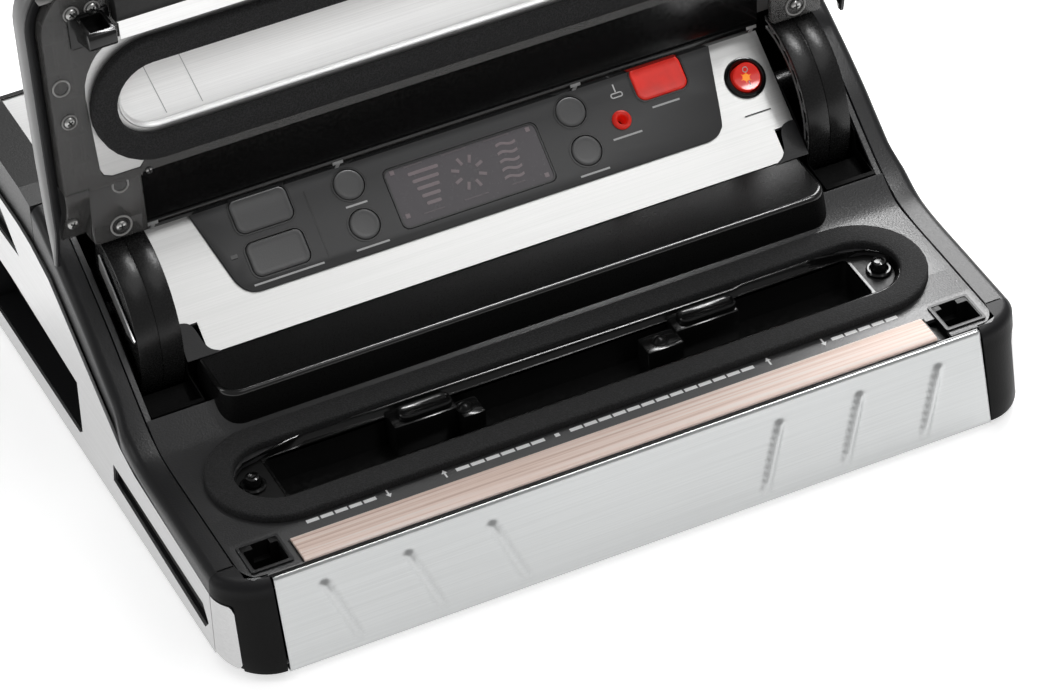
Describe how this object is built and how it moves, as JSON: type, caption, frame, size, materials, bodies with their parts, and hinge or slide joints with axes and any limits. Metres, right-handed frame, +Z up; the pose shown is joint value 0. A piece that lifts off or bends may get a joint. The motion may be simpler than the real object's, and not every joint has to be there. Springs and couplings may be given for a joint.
{
  "type": "vacuum sealer",
  "caption": "Countertop vacuum sealer with a raised hinged lid, foam-gasket chamber, heat seal strip, sloping button panel with display, and steel sides.",
  "frame": {"origin": "middle of the footprint, on the table the feet stand on", "axes": "+X to the right as the user faces the machine, +Y to the back, +Z up"},
  "size_m": [0.484, 0.3779, 0.3177],
  "materials": {
    "black_plastic": "satin, fine spark-eroded texture",
    "gloss_black": "gloss",
    "grey_plastic": "satin",
    "smoked_plastic": "smoked translucent plastic, lightly satin",
    "steel": "fine brushing along the width",
    "silver_paint": "satin silver",
    "aluminium": "as cast",
    "dark_metal": "satin",
    "foam": "closed-cell foam",
    "rubber": "matte",
    "ptfe_cloth": "PTFE-coated glass cloth, satin",
    "fascia": "satin film",
    "key_plastic": "satin",
    "red_plastic": "semi gloss",
    "red_lens": "translucent, lit from behind",
    "display_glass": "gloss window",
    "lens": "gloss",
    "board": "varnished"
  },
  "bodies": {
    "housing": {"accessory_port": "red_plastic", "arm_pocket_left": "black_plastic", "arm_pocket_right": "black_plastic", "bag_stop_left": "gloss_black", "bag_stop_right": "gloss_black", "base_pan": "black_plastic", "control_fascia": "fascia", "control_plate": "steel", "cooling_fan": "black_plastic", "deck_panel": "black_plastic", "display_window": "display_glass", "foot_front_left": "rubber", "foot_front_right": "rubber", "foot_rear_left": "rubber", "foot_rear_right": "rubber", "front_panel": "steel", "heater_bar": "aluminium", "hinge_pin_left": "aluminium", "hinge_pin_right": "aluminium", "indicator_lens": "lens", "latch_socket_left": "gloss_black", "latch_socket_right": "gloss_black", "lower_gasket": "foam", "main_board": "board", "power_inlet": "black_plastic", "pump_motor": "dark_metal", "rear_shell": "grey_plastic", "rear_top_plate": "steel", "seal_strip": "ptfe_cloth", "side_liner_left": "black_plastic", "side_liner_right": "black_plastic", "side_panel_left": "steel", "side_panel_right": "steel", "switch_bezel": "gloss_black", "top_shell": "black_plastic", "transformer": "dark_metal", "vacuum_pipe": "rubber", "vacuum_pump": "aluminium", "vacuum_trough": "gloss_black"},
    "lid": {"bar_strip": "steel", "latch_hook_left": "gloss_black", "latch_hook_right": "gloss_black", "lid_arm_left": "black_plastic", "lid_arm_right": "black_plastic", "lid_cover": "silver_paint", "lid_frame": "smoked_plastic", "lid_gasket": "foam", "lid_inner_plate": "steel", "lid_rear_band": "gloss_black", "lid_rim": "black_plastic", "pressure_bar": "rubber"},
    "power_rocker": {"power_rocker": "red_lens"},
    "cancel_button": {"cancel_button": "red_plastic"},
    "canister_button": {"canister_button": "key_plastic"},
    "dry_button": {"dry_button": "key_plastic"},
    "marinate_button": {"marinate_button": "key_plastic"},
    "moist_button": {"moist_button": "key_plastic"},
    "pulse_button": {"pulse_button": "key_plastic"},
    "seal_button": {"seal_button": "key_plastic"}
  },
  "joints": [
    {"name": "lid_hinge", "type": "hinge", "parent": "housing", "child": "lid", "pos_m": [0, 0.038, 0.0922], "axis": [1, 0, 0], "range_deg": [0, 94.6]},
    {"name": "cancel_button_press", "type": "slide", "parent": "housing", "child": "cancel_button", "axis": [0, 0.6018, -0.7986], "range_m": [0, 0.0012], "stiffness_N_per_m": 400, "springref_m": -0.0008},
    {"name": "canister_button_press", "type": "slide", "parent": "housing", "child": "canister_button", "axis": [0, 0.6018, -0.7986], "range_m": [0, 0.0012], "stiffness_N_per_m": 400, "springref_m": -0.0008},
    {"name": "dry_button_press", "type": "slide", "parent": "housing", "child": "dry_button", "axis": [0, 0.6018, -0.7986], "range_m": [0, 0.0012], "stiffness_N_per_m": 400, "springref_m": -0.0008},
    {"name": "marinate_button_press", "type": "slide", "parent": "housing", "child": "marinate_button", "axis": [0, 0.6018, -0.7986], "range_m": [0, 0.0012], "stiffness_N_per_m": 400, "springref_m": -0.0008},
    {"name": "moist_button_press", "type": "slide", "parent": "housing", "child": "moist_button", "axis": [0, 0.6018, -0.7986], "range_m": [0, 0.0012], "stiffness_N_per_m": 400, "springref_m": -0.0008},
    {"name": "pulse_button_press", "type": "slide", "parent": "housing", "child": "pulse_button", "axis": [0, 0.6018, -0.7986], "range_m": [0, 0.0012], "stiffness_N_per_m": 400, "springref_m": -0.0008},
    {"name": "seal_button_press", "type": "slide", "parent": "housing", "child": "seal_button", "axis": [0, 0.6018, -0.7986], "range_m": [0, 0.0012], "stiffness_N_per_m": 400, "springref_m": -0.0008},
    {"name": "power_rocker_tilt", "type": "hinge", "parent": "housing", "child": "power_rocker", "pos_m": [0.1734, 0.02783, 0.1152], "axis": [1, 0, 0], "range_deg": [-14, 0]}
  ]
}
